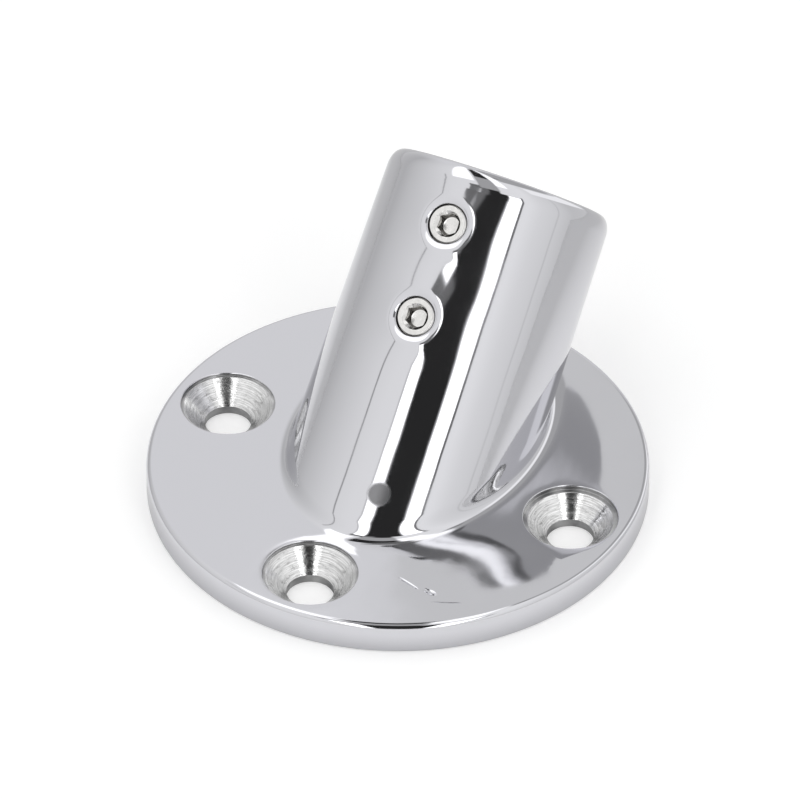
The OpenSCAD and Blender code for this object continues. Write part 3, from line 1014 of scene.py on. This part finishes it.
def tent_cloth(tree):
    """White cloth of a light tent, lit from outside, with strip lights and the slot for the camera."""
    turn, tilt = studio_place(tree)
    share = add(tree, "MapRange", {"Value": turn, "From Min": -180.0, "From Max": 180.0})
    walls = add(tree, "ValToRGB", {"Fac": share})
    stops = walls.node.color_ramp.elements
    for place, level in TENT_WALLS[1:-1]:
        stops.new((place + 180) / 360)
    for stop, (place, level) in zip(stops, TENT_WALLS):
        stop.position = (place + 180) / 360
        stop.color = (level, level, level, 1)
    ahead = add(tree, "MapRange", step_range(tilt, TENT_END_AT, TENT_END_SOFT, False),
                interpolation_type="SMOOTHSTEP")
    shade = add(tree, "Mix", {"Factor": ahead, "A": walls, "B": TENT_END}, MIXED, data_type="RGBA")
    for level, (first, last), (near, far), soft in TENT_CARDS.values():
        mask = 1.0
        for step in (step_range(turn, first, soft), step_range(turn, last, soft, False),
                     step_range(tilt, near, TENT_FADE), step_range(tilt, far, TENT_FADE, False)):
            edge = add(tree, "MapRange", step, interpolation_type="SMOOTHSTEP")
            mask = add(tree, "Math", {0: mask, 1: edge}, operation="MULTIPLY")
        card = (level, level, level, 1)
        shade = add(tree, "Mix", {"Factor": mask, "A": shade, "B": card}, MIXED, data_type="RGBA")
    return add(tree, "Emission", {"Color": shade, "Strength": TENT_STRENGTH})


def white_paper(tree):
    """The white paper that the part stands on, with a glow of its own for the camera and in the metal.

    Metal shows the paper a little brighter beside the part, where the tent's light gathers, than far off.
    """
    rays = add(tree, "LightPath").node.outputs
    place = add(tree, "TexCoord", out="Object")
    away = add(tree, "VectorMath", {0: place}, "Value", operation="LENGTH")
    mirrored = rays["Is Glossy Ray"]
    for (near, far), low, high in ((GLOW_SETS_IN, 0.0, PAPER_LIFT), (GLOW_FADES, 1.0, 0.0)):
        lit = add(tree, "MapRange", {"Value": away, "From Min": near * METRES, "From Max": far * METRES,
                                     "To Min": low, "To Max": high})
        mirrored = add(tree, "Math", {0: mirrored, 1: lit}, operation="MULTIPLY")
    lift = add(tree, "Math", {0: rays["Is Camera Ray"], 1: PAPER_LIFT, 2: mirrored},
               operation="MULTIPLY_ADD")
    paper = add(tree, "BsdfDiffuse", {"Color": colour("DEDEDE")})
    glow = add(tree, "Emission", {"Color": colour("FFFFFF"), "Strength": lift})
    return add(tree, "AddShader", {0: paper, 1: glow})


# The studio's tent: its size and middle, the axis that its strip lights run along, away from the camera,
# and the direction square to it that turns are counted from
TENT_R, TENT_RINGS, TENT_COLUMNS = 420.0, 24, 64
TENT_MIDDLE = np.array([3.0, 0.0, 25.0])
level_ahead = unit(forward * [1, 1, 0])
camera_tilt = math.asin(-forward[2])
TENT_AXIS = math.cos(camera_tilt) * level_ahead + math.sin(camera_tilt) * UPWARD
TENT_TOP = math.cos(camera_tilt) * UPWARD - math.sin(camera_tilt) * level_ahead
# How brightly the tent glows, and over how many degrees of tilt the end of a card fades
TENT_STRENGTH = 1.0
TENT_FADE = 2.0
# Brightness of the tent's walls, at turns in degrees from its top: left is negative
TENT_WALLS = [(-180, 0.8), (-112, 0.62), (-96, 0.74), (-72, 0.88), (-56, 0.96), (-36, 1.03),
              (36, 1.1), (50, 0.98), (72, 0.88), (88, 0.76), (112, 0.78), (180, 0.8)]
# Each card: its brightness, its edges' turns, its ends' tilts, and the softness of its edges
TENT_CARDS = {
    "far end on the right": (0.8, (0, 200), (-5, 9), 30),
    "light wall on the right": (1.25, (50, 125), (41, 58), 4),
    "left strip light": (1.7, (-42, -16), (5, 62), 2),
    "left strip light by the camera": (2.6, (-22.7, -13.2), (76, 200), 1.5),
    "slot": (0.03, (-12.5, 7), (12, 92), 3),
    "slot by the camera": (0.03, (-12.5, 14.5), (86, 200), 3),
    "left edge of the slot": (0.2, (-13, -5), (70, 88), 4),
    "gap in the left strip light": (0.2, (-24.5, -12), (74, 84.4), 1),
    "bar over the slot": (0.5, (-13, 8), (44, 80), 3),
    "right strip light": (1.7, (8, 21), (24, 63), 2),
    "room low down on the right": (0.52, (26, 130), (8, 38), 3),
    "slot near the floor": (0.2, (0, 14), (5, 24), 4),
    "right strip light near the floor": (1.7, (11, 24), (9, 23), 4),
    "stand of the right strip light": (0.15, (24, 33), (26, 30.5), 3),
    "right strip light by the camera": (2.6, (15.5, 28), (88, 200), 1.5),
    "right seam": (0.2, (28.2, 30.4), (84, 200), 1),
    "right fold": (0.74, (68.5, 70), (60, 120), 1.5),
    "left seam": (0.45, (-52, -50.5), (60, 100), 1),
    "seam of the left strip light": (0.6, (-24.4, -23.4), (83, 200), 1),
}
# The tent's far end, which the flange reflects, and where it meets the walls
TENT_END, TENT_END_AT, TENT_END_SOFT = (0.93, 0.93, 0.94, 1), 22.0, 24.0

tent_surface = Surface()
turns = np.arange(TENT_COLUMNS) * 2 * np.pi / TENT_COLUMNS
last = None
for height in np.linspace(0, np.pi / 2, TENT_RINGS, endpoint=False):
    points = TENT_R * (math.cos(height) * round_flange(turns) + math.sin(height) * UPWARD)
    ring = tent_surface.add(points, -unit(points))
    if last is not None:
        tent_surface.join(last, ring, 0)
    last = ring
tent_surface.fan(last[::-1], 0, TENT_R * UPWARD, -UPWARD)
cloth = new_material("tent_cloth", tent_cloth)
# The tent is all round, so that rays find its light by themselves
cloth.cycles.emission_sampling = "NONE"
tent = tent_surface.mesh("tent", [cloth])
tent.visible_camera = False

# The paper that the part stands on: how far it goes each way, how far below it lies, and its own glow
FLOOR_HALF, FLOOR_DROP, PAPER_LIFT = 3000.0, 0.02, 0.36
# How far from the part's middle the glow that metal mirrors sets in, and how far off it fades
GLOW_SETS_IN, GLOW_FADES = (36, 41), (45, 110)
floor_data = bpy.data.meshes.new("floor")
floor_corners = [(x * FLOOR_HALF * METRES, y * FLOOR_HALF * METRES, -FLOOR_DROP * METRES)
                 for x, y in ((-1, -1), (1, -1), (1, 1), (-1, 1))]
floor_data.from_pydata(floor_corners, [], [(0, 1, 2, 3)])
floor = bpy.data.objects.new("floor", floor_data)
bpy.context.scene.collection.objects.link(floor)
floor_data.materials.append(new_material("white_paper", white_paper))

finishes = [metal("mirror_polished_stainless", polished_steel), metal("turned_stainless", turned_steel),
            metal("belt_ground_stainless", ground_steel), metal("bored_stainless", bored_steel_painted_shade)]
screw_steels = [metal("set_screw_stainless", screw_stainless), metal("broached_stainless", broached_steel_painted_shade)]

body = casting().mesh("polished_casting", finishes)
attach(body, "root")
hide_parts("base_casting")
for piece_name, node_name, station in [("upper_threaded_screw", "upper_set_screw", UPPER_SCREW_AT),
                                       ("lower_threaded_screw", "lower_set_screw", LOWER_SCREW_AT)]:
    screw = set_screw(station).mesh(piece_name, screw_steels)
    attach(screw, "root")
    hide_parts(node_name)
